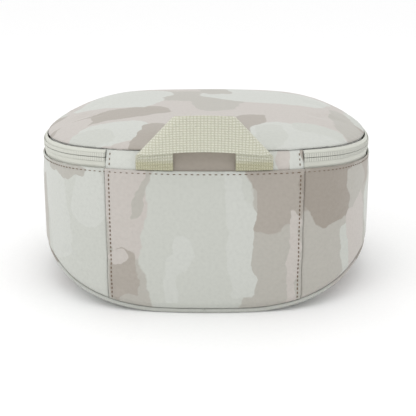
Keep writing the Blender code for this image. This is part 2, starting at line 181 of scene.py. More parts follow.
def around(distance, inset=0.0):
    """Point of the outline this far round from the middle of the back, rightwards, moved in by inset."""
    distance = (distance + ROUND / 2) % ROUND - ROUND / 2
    side = math.copysign(1.0, distance)
    reach = abs(distance)
    front = reach > QUARTER
    reach = ROUND / 2 - reach if front else reach
    if reach <= BACK_LENGTH:
        turn = math.pi / 2 - reach / BACK_RADIUS
        centre, radius = (0.0, BACK_CENTRE), BACK_RADIUS
    elif reach <= BACK_LENGTH + CORNER_LENGTH:
        turn = CORNER_END - (reach - BACK_LENGTH) / CORNER_RADIUS
        centre, radius = (CORNER_X, CORNER_Y), CORNER_RADIUS
    else:
        turn = SIDE_END - (reach - BACK_LENGTH - CORNER_LENGTH) / SIDE_RADIUS
        centre, radius = (SIDE_CENTRE, 0.0), SIDE_RADIUS
    x = centre[0] + (radius - inset) * math.cos(turn)
    y = centre[1] + (radius - inset) * math.sin(turn)
    return side * x, y if front else -y


def outward(distance):
    """Outward direction of the outline at this distance round."""
    x0, y0 = around(distance, 0.001)
    x1, y1 = around(distance)
    return Vector((x1 - x0, y1 - y0, 0.0)).normalized()


def sewn_sheet(columns, rows, place):
    """A grid bent to place(across, up), each 0 to 1, which gives the point and its place on the flat cloth."""
    sheet = bmesh.new()
    bmesh.ops.create_grid(sheet, x_segments=columns, y_segments=rows, size=1)
    cloth = sheet.loops.layers.uv.new("cloth")
    flat = {}
    for point in sheet.verts:
        across = round((point.co.x + 1) / 2 * columns) / columns
        up = round((point.co.y + 1) / 2 * rows) / rows
        point.co, flat[point] = place(across, up)
    for face in sheet.faces:
        for corner in face.loops:
            corner[cloth].uv = flat[corner.vert]
    bmesh.ops.remove_doubles(sheet, verts=sheet.verts, dist=2e-6)
    bmesh.ops.recalc_face_normals(sheet, faces=sheet.faces)
    return sheet


def outwards(sheet, towards):
    """Turn the whole sheet over if most of it doesn't look along towards."""
    facing = 0.0
    for face in sheet.faces:
        facing += face.calc_area() * face.normal.dot(towards(face.calc_center_median()))
    if facing < 0:
        bmesh.ops.reverse_faces(sheet, faces=sheet.faces)


def from_axis(point):
    return Vector((point.x, point.y, 0.0))


def upwards(point):
    return Vector((0.0, 0.0, 1.0))


def downwards(point):
    return Vector((0.0, 0.0, -1.0))


def finish_piece(shape, name, material, body, thickness=0.0, cad=()):
    """Make the bmesh a named object that rides on a body and stands for its CAD nodes."""
    mesh = bpy.data.meshes.new(name)
    shape.to_mesh(mesh)
    shape.free()
    for face in mesh.polygons:
        face.use_smooth = True
    mesh.materials.append(material)
    piece = bpy.data.objects.new(name, mesh)
    bpy.context.scene.collection.objects.link(piece)
    if thickness:
        wall = piece.modifiers.new("thickness", "SOLIDIFY")
        wall.thickness = thickness
        wall.offset = -1
    if body:
        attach(piece, body)
    if cad:
        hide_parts(*cad)
    return piece


def swelling(columns, rows, place, towards, pinned, most):
    """How far a padded panel swells: a cloth simulation of a coarse copy that is held along its seams.

    Gives a function of (across, up) that reads the simulated swell, never more than most.
    """

    sheet = bmesh.new()
    bmesh.ops.create_grid(sheet, x_segments=columns, y_segments=rows, size=1)
    cell = sheet.verts.layers.int.new("cell")
    for point in sheet.verts:
        column = round((point.co.x + 1) / 2 * columns)
        row = round((point.co.y + 1) / 2 * rows)
        point[cell] = row * (columns + 1) + column
        point.co = place(column / columns, row / rows)[0]
    bmesh.ops.remove_doubles(sheet, verts=sheet.verts, dist=1e-5)
    bmesh.ops.recalc_face_normals(sheet, faces=sheet.faces)
    outwards(sheet, towards)
    mesh = bpy.data.meshes.new("padding")
    sheet.to_mesh(mesh)
    sheet.free()
    pad = bpy.data.objects.new("padding", mesh)
    bpy.context.scene.collection.objects.link(pad)
    cells = [item.value for item in mesh.attributes["cell"].data]
    held = pad.vertex_groups.new(name="sewn")
    held.add([i for i, c in enumerate(cells) if pinned(c % (columns + 1), c // (columns + 1))], 1.0, "REPLACE")
    normals = [vertex.normal.copy() for vertex in mesh.vertices]
    rest = [vertex.co.copy() for vertex in mesh.vertices]
    cloth = pad.modifiers.new("cloth", "CLOTH")
    cloth.settings.quality = 6
    cloth.settings.mass = 0.2
    cloth.settings.tension_stiffness = 12
    cloth.settings.compression_stiffness = 12
    cloth.settings.bending_stiffness = 0.3
    cloth.settings.use_pressure = True
    cloth.settings.uniform_pressure_force = 3.0
    cloth.settings.shrink_min = -0.012
    cloth.settings.vertex_group_mass = "sewn"
    cloth.settings.effector_weights.gravity = 0
    cloth.collision_settings.use_collision = False
    cloth.point_cache.frame_start = 1
    cloth.point_cache.frame_end = SWELL_FRAMES
    scene = bpy.context.scene
    for step in range(1, SWELL_FRAMES + 1):
        scene.frame_set(step)
    shaped = pad.evaluated_get(bpy.context.evaluated_depsgraph_get())
    moved = [vertex.co.copy() for vertex in shaped.data.vertices]
    swell = {}
    for c, normal, start, end in zip(cells, normals, rest, moved):
        swell[c] = min(max((end - start).dot(normal), 0.0), most)
    scene.frame_set(1)
    bpy.data.objects.remove(pad, do_unlink=True)
    bpy.data.meshes.remove(mesh)

    # Where the sheet closes on itself or meets in its middle, merged points share one reading
    shared = {c // (columns + 1): value for c, value in swell.items()}

    def grid(column, row):
        first = row * (columns + 1)
        return swell.get(first + column, swell.get(first, swell.get(first + columns, shared.get(row, 0.0))))

    def read(across, up):
        x = min(max(across, 0.0), 1.0) * columns
        y = min(max(up, 0.0), 1.0) * rows
        i, j = min(int(x), columns - 1), min(int(y), rows - 1)
        x, y = x - i, y - j
        low = grid(i, j) * (1 - x) + grid(i + 1, j) * x
        high = grid(i, j + 1) * (1 - x) + grid(i + 1, j + 1) * x
        return low * (1 - y) + high * y

    return read


# ---------------------------------------------------------------- materials

def linear(code):
    """Linear colour of an sRGB hex value."""
    parts = [int(code[i:i + 2], 16) / 255 for i in (1, 3, 5)]
    return tuple(p / 12.92 if p <= 0.04045 else ((p + 0.055) / 1.055) ** 2.4 for p in parts)


def node(tree, kind, links=(), **settings):
    """Add a node with its settings; links pairs an input with a value or with another node's output."""
    made = tree.nodes.new(kind)
    for name, value in settings.items():
        setattr(made, name, value)
    for name, value in dict(links).items():
        if isinstance(value, bpy.types.NodeSocket):
            tree.links.new(value, made.inputs[name])
        else:
            made.inputs[name].default_value = value
    return made


def new_material(name, roughness, metallic=0.0, sheen=0.0):
    material = bpy.data.materials.new(name)
    material.use_nodes = True
    shader = material.node_tree.nodes["Principled BSDF"]
    shader.inputs["Roughness"].default_value = roughness
    shader.inputs["Metallic"].default_value = metallic
    shader.inputs["Sheen Weight"].default_value = sheen
    return material, material.node_tree, shader


def blend_colour(tree, factor, below, above, kind="MIX"):
    return node(tree, "ShaderNodeMix", {0: factor, 6: below, 7: above}, data_type="RGBA",
                blend_type=kind).outputs[2]


def picked(name):
    """One of the bag's colours, with full alpha."""
    return (*getattr(bpy.context.scene.cooler_bag_colours, name), 1.0)


def flat_cloth(tree):
    return node(tree, "ShaderNodeUVMap", uv_map="cloth").outputs[0]


def object_place(tree):
    return node(tree, "ShaderNodeTexCoord").outputs["Object"]


def noise_at(tree, place, scale, detail, **more):
    links = {"Vector": place, "Scale": scale, "Detail": detail, **more}
    return node(tree, "ShaderNodeTexNoise", links, noise_dimensions="4D" if "W" in more else "3D")


def maths(tree, operation, first, second):
    return node(tree, "ShaderNodeMath", {0: first, 1: second}, operation=operation).outputs[0]


def vector_maths(tree, operation, first, second):
    return node(tree, "ShaderNodeVectorMath", {0: first, 1: second}, operation=operation)


def mapped(tree, value, start, end, low=0.0, high=1.0):
    """Value, stretched so that start becomes low and end becomes high."""
    return node(tree, "ShaderNodeMapRange", {"Value": value, "From Min": start, "From Max": end,
                                             "To Min": low, "To Max": high}).outputs[0]


def bands(tree, cloth, spacing, direction, distortion=0.0, phase=0.0, **settings):
    """Waves this far apart, in metres; a Wave band repeats every pi / 10 units at scale 1."""
    links = {"Vector": cloth, "Scale": math.pi / 10 / spacing, "Distortion": distortion, "Phase Offset": phase}
    return node(tree, "ShaderNodeTexWave", links, wave_type="BANDS", bands_direction=direction,
                **settings).outputs["Fac"]


def paint(tree, shader, colour, value, low, high, start=0.0, end=1.0):
    """Base colour, multiplied by low where value is start and by high where it is end."""
    shade = mapped(tree, value, start, end, low, high)
    painted = blend_colour(tree, 1.0, colour, shade, "MULTIPLY")
    tree.links.new(painted, shader.inputs["Base Color"])
    return painted


def relief(tree, shader, height, strength, distance, **below):
    """Raise the surface by height, over a coarser relief given as Normal."""
    links = {"Height": height, "Strength": strength, "Distance": distance, **below}
    raised = node(tree, "ShaderNodeBump", links).outputs[0]
    tree.links.new(raised, shader.inputs["Normal"])
    return raised


def weave_height(tree, cloth, across, along, knots=False):
    """Height, 0 to 1, of a plain weave with these thread spacings in metres, or of a grid of knots."""
    spots = []
    for spacing, direction in ((across, "X"), (along, "Y")):
        wave = bands(tree, cloth, spacing, direction, wave_profile="SIN")
        spots.append(maths(tree, "SUBTRACT", wave, 0.0 if knots else 0.5))
    product = maths(tree, "MULTIPLY", *spots)
    if knots:
        return maths(tree, "POWER", product, 0.6)
    return node(tree, "ShaderNodeMath", {0: product, 1: 2.0, 2: 0.5}, operation="MULTIPLY_ADD").outputs[0]


def printed_cloth(name, patches, seed, painted_light_scale=1.0):
    """Printed woven polyester: matt, with soft overlapping cloud shapes in pale grey-green, pink and taupe.

    patches are (tone, across, up, half width, half height, turn in degrees) on the flat cloth, in millimetres,
    laid over a loose all-over pattern of the same tones. The last argument multiplies the whole colour: below
    1 it is painted shade, above 1 painted light.
    """
    material, tree, shader = new_material(name, 0.62, sheen=0.12)
    shader.inputs["Sheen Roughness"].default_value = 0.5
    cloth = flat_cloth(tree)
    # The edges of the shapes wander by some millimetres in long waves, and by less in short ones
    broad = noise_at(tree, cloth, 38.0, 1.0, W=seed).outputs["Color"]
    fine = noise_at(tree, cloth, 150.0, 2.0, W=seed + 3.0).outputs["Color"]
    wandered = cloth
    for source, size in ((broad, 0.018), (fine, 0.0055)):
        centred = vector_maths(tree, "SUBTRACT", source, (0.5, 0.5, 0.5)).outputs[0]
        scaled = vector_maths(tree, "MULTIPLY", centred, (size, size, 0.0)).outputs[0]
        wandered = vector_maths(tree, "ADD", wandered, scaled).outputs[0]

    colour = picked("stone")
    for offset, scale, cut, tone in ((0.0, 13.0, 0.50, "pale"), (5.0, 15.0, 0.56, "taupe"),
                                     (9.0, 17.0, 0.57, "pink"), (14.0, 20.0, 0.60, "mist")):
        cloud = noise_at(tree, wandered, scale, 0.5, W=seed + offset).outputs["Fac"]
        mask = mapped(tree, cloud, cut - 0.006, cut + 0.006)
        colour = blend_colour(tree, mask, colour, picked(tone))
    for tone, across, up, wide, high, turn in patches:
        placing = {"Vector": wandered, "Location": (across / 1000, up / 1000, 0),
                   "Rotation": (0, 0, math.radians(turn)), "Scale": (wide / 1000, high / 1000, 1)}
        placed = node(tree, "ShaderNodeMapping", placing, vector_type="TEXTURE").outputs[0]
        squared = vector_maths(tree, "MULTIPLY", placed, placed).outputs[0]
        # The fourth power makes a rounded oblong
        power = vector_maths(tree, "DOT_PRODUCT", squared, squared).outputs["Value"]
        colour = blend_colour(tree, mapped(tree, power, 1.06, 0.94), colour, picked(tone))

    # Yarns are about 0.3 mm apart, too fine to show; they are drawn 1.1 mm apart
    weave = weave_height(tree, cloth, 0.0011, 0.0011)
    slub = noise_at(tree, cloth, 420.0, 2.0).outputs["Fac"]
    speckle = maths(tree, "MULTIPLY", weave, slub)
    # The weave speckle and the last argument's painted shade or painted light are multiplied into the colour
    paint(tree, shader, colour, speckle, 0.88 * painted_light_scale, 1.03 * painted_light_scale, 0.05, 0.45)
    creases = noise_at(tree, cloth, 60.0, 3.0, Distortion=0.6).outputs["Fac"]
    soft = relief(tree, shader, creases, 0.25, 0.0012)
    relief(tree, shader, speckle, 0.35, 0.0003, Normal=soft)
    return material


def zip_cloth(name, nylon):
    """Woven polyester zip tape, matt with faint lengthwise ribs, or the glossier nylon of its coil."""
    material, tree, shader = new_material(name, 0.42 if nylon else 0.7, sheen=0.0 if nylon else 0.1)
    cloth = flat_cloth(tree)
    # Ribs 0.9 mm apart along the tape
    ribs = bands(tree, cloth, 0.0009, "Y", 0.4)
    grain = weave_height(tree, cloth, 0.0009, 0.0009)
    mixed = maths(tree, "ADD", ribs, grain)
    colour = paint(tree, shader, picked("tape"), mixed, 0.93, 1.02, 0.2, 1.6)
    if nylon:
        # The hollows between coils are shaded
        pitch = bpy.context.scene.cooler_bag_sizes.coil_pitch
        coils = bands(tree, cloth, pitch, "X", phase=math.pi / 2)
        paint(tree, shader, colour, coils, 0.72, 1.0, 0.0, 0.45)
    relief(tree, shader, mixed, 0.3, 0.0003)
    return material


def woven_webbing():
    """Nylon webbing: a coarse, slightly shiny weave of yarns 1.65 mm apart across it and 2.25 mm along."""
    material, tree, shader = new_material("woven_nylon_webbing", 0.55, sheen=0.1)
    cloth = flat_cloth(tree)
    height = weave_height(tree, cloth, 0.00165, 0.00225, knots=True)
    fibre = noise_at(tree, cloth, 900.0, 2.0).outputs["Fac"]
    colour = blend_colour(tree, mapped(tree, height, 0.05, 0.5), picked("webbing_shade"), picked("webbing"))
    # Painted shade: the sewn ends, which lie in the shade of the folds above them, are darkened in the colour
    up = node(tree, "ShaderNodeSeparateXYZ", {"Vector": object_place(tree)}).outputs["Z"]
    free = mapped(tree, up, WALL_TOP + 0.0050, WALL_TOP + 0.0085)
    painted_end_shade = blend_colour(tree, free, picked("webbing_end_painted_shade"), (1.0, 1.0, 1.0, 1.0))
    colour = blend_colour(tree, 1.0, colour, painted_end_shade, "MULTIPLY")
    paint(tree, shader, colour, fibre, 0.95, 1.03, 0.3, 0.7)
    yarns = relief(tree, shader, height, 0.8, 0.0007)
    relief(tree, shader, fibre, 0.2, 0.0002, Normal=yarns)
    return material


def foil_lining():
    """Aluminised lining film: silvery grey with a low sheen and soft crinkles from folding."""
    material, tree, shader = new_material("aluminised_lining_film", 0.36, 0.55)
    cloth = flat_cloth(tree)
    crinkle = node(tree, "ShaderNodeTexVoronoi", {"Vector": cloth, "Scale": 55.0}, feature="SMOOTH_F1")
    mixed = maths(tree, "ADD", crinkle.outputs[0], noise_at(tree, cloth, 160.0, 3.0).outputs["Fac"])
    paint(tree, shader, picked("lining"), mixed, 0.88, 1.04, 0.4, 1.4)
    relief(tree, shader, mixed, 0.4, 0.001)
    return material


def binding_cloth():
    """Folded grosgrain binding: ribbed polyester, matt."""
    material, tree, shader = new_material("grosgrain_binding", 0.75, sheen=0.1)
    # Ribs 1 mm apart across the binding
    ribs = bands(tree, flat_cloth(tree), 0.001, "X", 0.2)
    paint(tree, shader, picked("binding"), ribs, 0.86, 1.03)
    relief(tree, shader, ribs, 0.5, 0.0003)
    return material


def sewing_thread():
    """Twisted polyester thread: brown, with a faint twist of light and dark about 0.8 mm long."""
    material, tree, shader = new_material("polyester_sewing_thread", 0.5)
    twist = noise_at(tree, object_place(tree), 1200.0, 1.0).outputs["Fac"]
    paint(tree, shader, picked("thread"), twist, 0.75, 1.15, 0.3, 0.7)
    return material


def painted_zinc():
    """Die-cast zinc with a baked paint coat: smooth, faintly mottled satin."""
    material, tree, shader = new_material("painted_die_cast_zinc", 0.34, 0.15)
    shader.inputs["Coat Weight"].default_value = 0.25
    mottle = noise_at(tree, object_place(tree), 700.0, 2.0).outputs["Fac"]
    paint(tree, shader, picked("metal"), mottle, 0.92, 1.06)
    relief(tree, shader, mottle, 0.15, 0.0002)
    return material


def cell_foam():
    """Closed-cell polyethylene foam: white, matt, with cells about 0.8 mm across."""
    material, tree, shader = new_material("closed_cell_polyethylene_foam", 0.9)
    place = object_place(tree)
    cells = node(tree, "ShaderNodeTexVoronoi", {"Vector": place, "Scale": 1250.0}).outputs["Distance"]
    colour = blend_colour(tree, cells, (*linear("#efefec"), 1.0), (*linear("#dcdcd8"), 1.0))
    tree.links.new(colour, shader.inputs["Base Color"])
    relief(tree, shader, cells, 0.4, 0.0003)
    return material


def studio_floor():
    """Matt white studio paper with a barely visible grain."""
    material, tree, shader = new_material("studio_paper", 0.9)
    shader.inputs["Specular IOR Level"].default_value = 0.1
    grain = noise_at(tree, object_place(tree), 300.0, 2.0).outputs["Fac"]
    colour = blend_colour(tree, grain, (*linear("#fbfbfb"), 1.0), (*linear("#ffffff"), 1.0))
    tree.links.new(colour, shader.inputs["Base Color"])
    return material


# ---------------------------------------------------------------- sewn shell

WALL_PATCHES = (
    # tone, across, up, half width, half height, turn
    ("stone", 0, 50, 74, 64, 0),
    ("pink", -52, 74, 16, 34, 0),
    ("stone", -44, 84, 3, 18, -18),
    ("taupe", -56, 26, 9, 20, -12),
    ("stone", -36, 8, 22, 9, 10),
    ("pink", -58, 38, 7, 5, 40),
    ("taupe", 60, 86, 46, 24, 12),
    ("stone", 27, 72, 5, 16, -6),
    ("mist", -6, 50, 36, 62, -2),
    ("pale", 25, 46, 9, 34, 4),
    ("pale", 20, 84, 5, 24, 6),
    ("pale", -19, 32, 8, 24, -8),
    ("mist", -2, 16, 16, 18, 12),
    ("pink", 61, 32, 4, 40, 0),
    ("stone", 96, 36, 30, 44, 10),
    ("bark", 94, 87, 27, 24, 16),
    ("mist", 112, 34, 9, 26, 14),
    ("pink", 128, 46, 16, 30, 8),
    ("stone", 126, 84, 17, 12, 10),
    ("mist", -104, 60, 42, 70, 0),
    ("pale", -122, 62, 20, 34, 12),
    ("pale", -82, 78, 13, 20, -14),
    ("stone", -110, 94, 26, 5, 4),
    ("stone", -152, 40, 8, 40, 0),
)

LID_PATCHES = (
    ("pink", 0, 0, 110, 110, 0),
    ("stone", -10, 40, 30, 26, 0),
    ("taupe", -72, -34, 48, 16, 22),
    ("pale", -66, 34, 34, 42, -14),
    ("pink", -100, -60, 14, 32, -10),
    ("pale", -64, -78, 25, 22, 14),
    ("mist", -80, -84, 16, 15, 10),
    ("taupe", -40, -98, 9, 36, -14),
    ("stone", 8, 10, 22, 30, 20),
    ("pale", 48, 42, 50, 32, -22),
    ("stone", 6, 68, 12, 22, 10),
    ("pink", 66, -18, 44, 20, -14),
    ("taupe", 27, -72, 10, 36, -12),
    ("pale", 64, -90, 33, 30, -8),
    ("mist", 44, -88, 10, 22, -12),
    ("mist", 80, -66, 17, 10, -14),
    ("stone", 105, -32, 10, 52, 4),
)


def hem_shape(drop):
    """Outward shape of the wall this far below its folded top: a soft roll, then the stitched groove."""
    roll = 0.00045 * bump(drop, 0.0011, 0.0009) - 0.0004 * bump(drop, 0.0, 0.00035)
    return roll - 0.00045 * bump(drop, STITCH_DROP, 0.0005)


def wall_creases(distance, height):
    """Soft diagonal creases where the wall is pulled by its seams, and slow waves elsewhere."""
    waves = 0.00035 * noise.noise(Vector((distance * 22, height * 16, 4.0)))
    pulled = noise.noise(Vector((distance * 70 + height * 62, height * 9 - distance * 7, 7.0)))
    near = bump(abs(distance), SEAM, 0.020) * smooth(height, 0.03, 0.09)
    return waves + 0.0008 * pulled * near


def wall_swell(columns, rows, start, end):
    def place(across, up):
        distance = start + (end - start) * across
        x, y = around(distance)
        low, top = wall_ends(x)
        return Vector((x, y, low + (top - low) * up)), (0, 0)

    def pinned(column, row):
        return column in (0, columns) or row in (0, rows)

    return swelling(columns, rows, place, from_axis, pinned, bpy.context.scene.cooler_bag_sizes.wall_swell)


def wall_lift(swell, start, end, distance, across, up, drop, low_gap):
    """How far the wall stands out from its outline at one point."""
    lift = swell(across, up) * smooth(drop, STITCH_DROP, 0.018)
    lift += hem_shape(drop) + wall_creases(distance, drop + 0.02) * smooth(drop, 0.003, 0.012)
    lift -= 0.0006 * bump(low_gap, 0.0, 0.0016)
    pucker = 0.00018 * math.sin(2 * math.pi * distance / 0.0040)
    lift += pucker * bump(drop, STITCH_DROP + 0.001, 0.0018)
    edge = min(distance - start, end - distance)
    if start < 0:
        lift += 0.0006 * bump(edge, 0.0009, 0.0012) - 0.0004 * bump(edge, STITCH_IN, 0.0006)
        lift += 0.00016 * math.sin(2 * math.pi * drop / 0.0030) * bump(edge, STITCH_IN, 0.0012)
    else:
        lift -= 0.0005 * bump(edge, 0.0, 0.0025)
    return max(lift, -0.0004)


def build_wall_panel(name, start, end, columns, rows, coarse, material, cad):
    swell = wall_swell(*coarse, start, end)

    def surface(distance, up):
        across = (distance - start) / (end - start)
        low, top = wall_ends(around(distance)[0])
        height = low + (top - low) * up
        lift = wall_lift(swell, start, end, distance, across, up, top - height, height - low)
        x, y = around(distance, -lift)
        return Vector((x, y, height)), (distance, height)

    shape = sewn_sheet(columns, rows, lambda across, up: surface(start + (end - start) * across, up))
    outwards(shape, from_axis)
    piece = finish_piece(shape, name, material, "bag_body", CLOTH, cad)
    return surface


def stitch_run(shape, points, facings, size):
    """Lay one low, rounded stitch from each point towards the next."""
    length, width = size
    for i in range(len(points) - 1):
        along = (points[i + 1] - points[i]).normalized()
        up = facings[i].normalized()
        side = up.cross(along).normalized()
        up = along.cross(side)
        turn = Matrix((along, side, up)).transposed().to_4x4()
        middle = Matrix.Translation((points[i] + points[i + 1]) / 2)
        scale = Matrix.Diagonal((length / 2, width / 2, width / 2.4, 1.0))
        bmesh.ops.create_icosphere(shape, subdivisions=1, radius=1.0, matrix=middle @ turn @ scale)


def evenly(start, end, pitch):
    count = max(2, round((end - start) / pitch))
    return [start + (end - start) * i / count for i in range(count + 1)]


def lid_place(distance, reach):
    """Point of the lid's upper face; reach is 1 at its seam and 0 in its middle."""
    x, y = around(distance, LID_INSET)
    x, y = x * reach, y * reach
    return Vector((x, y, LID_SEAM - lid_droop(x) + LID_CROWN * (1 - reach ** LID_FULLNESS)))


class BagSizes(bpy.types.PropertyGroup):
    """Sizes of the soft parts that a user would change."""

    wall_swell: FloatProperty(
        name="Wall swell", description="How far the padded wall stands out between its seams at most",
        default=0.0010, min=0.0, max=0.004, unit="LENGTH")
    lid_swell: FloatProperty(
        name="Lid swell", description="How far the padded lid rises over its frame at most",
        default=0.0016, min=0.0, max=0.004, unit="LENGTH")
    stitch_pitch: FloatProperty(
        name="Top stitch", description="Distance from one stitch to the next round the wall's top",
        default=0.0040, min=0.002, max=0.008, unit="LENGTH")
    seam_pitch: FloatProperty(
        name="Seam stitch", description="Distance from one stitch to the next down the panel seams",
        default=0.0030, min=0.002, max=0.008, unit="LENGTH")
    thread_width: FloatProperty(
        name="Thread", description="Thickness of the sewing thread",
        default=0.0010, min=0.0003, max=0.0015, unit="LENGTH")
    coil_pitch: FloatProperty(
        name="Zip coil", description="Distance from one coil of the zip to the next",
        default=0.0018, min=0.001, max=0.003, unit="LENGTH")


def colour_property(name, description, code):
    return FloatVectorProperty(name=name, description=description, subtype="COLOR", size=3, min=0.0, max=1.0,
                               default=linear(code))


class BagColours(bpy.types.PropertyGroup):
    """Colours of the cloth, tape, webbing and metal."""

    pale: colour_property("Print, pale", "Palest grey-green of the print", "#c8cac4")
    mist: colour_property("Print, mist", "Slightly deeper grey-green of the print", "#c3c5be")
    pink: colour_property("Print, pink", "Pinkish beige of the print", "#c1bbb5")
    stone: colour_property("Print, stone", "Grey-beige of the print", "#b3b0a8")
    taupe: colour_property("Print, taupe", "Taupe of the print", "#a8a198")
    bark: colour_property("Print, bark", "Deepest taupe of the print", "#9c948a")
    tape: colour_property("Zip tape", "Pale green-white of the zip", "#cdcec4")
    webbing: colour_property("Webbing", "Pale green of the handle", "#dadaca")
    webbing_shade: colour_property("Webbing, between yarns", "Hollows of the handle's weave", "#bebda8")
    # Painted shade: this colour darkens the webbing's sewn ends, under the folds of the handle
    webbing_end_painted_shade: colour_property("Webbing, sewn ends", "Tint of the webbing next to its seam", "#e3e0cf")
    binding: colour_property("Binding", "Binding inside the mouth", "#b9b9a6")
    thread: colour_property("Thread", "Brown topstitching", "#705e4c")
    lining: colour_property("Lining", "Silvery lining film", "#d2d4d6")
    metal: colour_property("Sliders", "Painted zip sliders and pulls", "#c9cabd")


class BagOperator:
    bl_options = {"REGISTER", "UNDO"}


class COOLERBAG_OT_wall(BagOperator, bpy.types.Operator):
    """Padded back and side panels, sewn at two folded seams"""

    bl_idname = "cooler_bag.wall"
    bl_label = "Wall Panels"

    def execute(self, context):
        sizes = context.scene.cooler_bag_sizes
        # The side panel is one length of cloth, so its left end comes one whole turn further round
        patches = [(tone, across + 1000 * ROUND if across < -1000 * SEAM else across, *rest)
                   for tone, across, *rest in WALL_PATCHES]
        cloth = printed_cloth("printed_woven_polyester_wall", patches, 2.0)
        back = build_wall_panel("back_panel", -SEAM, SEAM, 136, 100, (34, 24), cloth, ("back_wall_panel",))
        start, end = SEAM + 0.0005, ROUND - SEAM - 0.0005
        sides = build_wall_panel("side_panel", start, end, 420, 66, (120, 18), cloth, ("side_wall_panel",))

        def on_wall(distance, drop):
            distance = (distance + ROUND / 2) % ROUND - ROUND / 2
            surface = back if abs(distance) <= SEAM else sides
            low, top = wall_ends(around(distance)[0])
            if surface is sides and distance < 0:
                distance += ROUND
            return surface(distance, 1 - drop / (top - low))[0]

        shape = bmesh.new()
        places = evenly(-ROUND / 2, ROUND / 2, sizes.stitch_pitch)
        points = [on_wall(d, STITCH_DROP) + outward(d) * STITCH_PROUD for d in places]
        stitch_run(shape, points, [outward(d) for d in places], (0.0029, sizes.thread_width))
        for side in (-1, 1):
            distance = side * (SEAM - STITCH_IN)
            low, top = wall_ends(around(distance)[0])
            drops = evenly(STITCH_DROP + 0.001, top - low + GAP - 0.001, sizes.seam_pitch)
            points = [on_wall(distance, drop) + outward(distance) * STITCH_PROUD for drop in drops]
            stitch_run(shape, points, [outward(distance)] * len(points), (0.0023, sizes.thread_width))
        finish_piece(shape, "wall_topstitching", sewing_thread(), "bag_body")
        return {"FINISHED"}


class COOLERBAG_OT_base(BagOperator, bpy.types.Operator):
    """Curved base panel with a padded, rolled rim"""

    bl_idname = "cooler_bag.base"
    bl_label = "Base Panel"

    def execute(self, context):
        columns, bead, rings = 400, 10, 26
        rows = bead + rings

        def place(across, up):
            distance = ROUND * across
            row = round(up * rows)
            if row <= bead:
                turn = math.radians(80 - 170 * row / bead)
                inset = 0.0018 - 0.0019 * math.cos(turn)
                height = BASE_RIM / 2 * (1 + math.sin(turn))
                x, y = around(distance, inset)
            else:
                reach = 1 - (row - bead) / rings
                x, y = around(distance, 0.0018)
                x, y = x * reach, y * reach
                height = 0.0
            height += 0.00012 * noise.noise(Vector((distance * 90, row, 2.0))) if row < bead else 0.0
            return Vector((x, y, height + base_height(x))), (x, y - row * 1e-4)

        shape = sewn_sheet(columns, rows, place)
        outwards(shape, downwards)
        # The base cloth's colour is scaled to 0.84: painted shade on the rim at the bottom of the bag
        cloth = printed_cloth("printed_woven_polyester_base_painted_shade", (("mist", 0, -100, 90, 30, 0),), 6.0, 0.84)
        piece = finish_piece(shape, "base_cover", cloth, "bag_body", CLOTH, ("base_panel",))
        return {"FINISHED"}


class COOLERBAG_OT_lid(BagOperator, bpy.types.Operator):
    """Padded lid, crowned and sewn down round its edge"""

    bl_idname = "cooler_bag.lid"
    bl_label = "Lid"

    def execute(self, context):
        most = context.scene.cooler_bag_sizes.lid_swell
        swell = swelling(64, 14, lambda across, up: (lid_place(ROUND * across, 1 - up), (0, 0)), upwards,
                         lambda column, row: row == 0, most)

        def place(across, up):
            distance = ROUND * across
            reach = (1 - up) ** 0.85
            flat = lid_place(distance, reach)
            x, y = around(distance, LID_INSET)
            in_from_seam = math.hypot(x, y) * (1 - reach)
            lift = swell(across, 1 - reach) * smooth(in_from_seam, 0.001, 0.03)
            lift += 0.0009 * smooth(in_from_seam, 0.0, 0.005) - 0.0002 * bump(in_from_seam, 0.0, 0.0007)
            pucker = noise.noise(Vector((distance * 230, in_from_seam * 60, 1.0)))
            lift += 0.0005 * pucker * bump(in_from_seam, 0.0015, 0.0035)
            wave = noise.noise(Vector((flat.x * 20, flat.y * 20, 3.0)))
            lift += 0.0004 * wave * smooth(in_from_seam, 0.0, 0.03)
            return flat + Vector((0, 0, lift)), (flat.x, flat.y)

        shape = sewn_sheet(440, 60, place)
        outwards(shape, upwards)
        cloth = printed_cloth("printed_woven_polyester_lid", LID_PATCHES, 11.0)
        piece = finish_piece(shape, "lid_cover", cloth, "lid", CLOTH, ("lid_panel",))
        return {"FINISHED"}


def strip_lean(height):
    lean = min(max((height - WALL_TOP) / (LID_SEAM - FABRIC - WALL_TOP), 0.0), 1.0)
    return FABRIC + GAP + (LID_INSET - FABRIC) * lean


HINGE_PATCHES = (
    ("pale", -52, 108, 16, 12, 0),
    ("pink", -30, 108, 10, 12, 0),
    ("bark", 0, 108, 26, 12, 0),
    ("pale", 42, 108, 8, 12, 0),
    ("pink", 53, 108, 4, 12, 0),
    ("pale", 62, 108, 5, 12, 0),
)


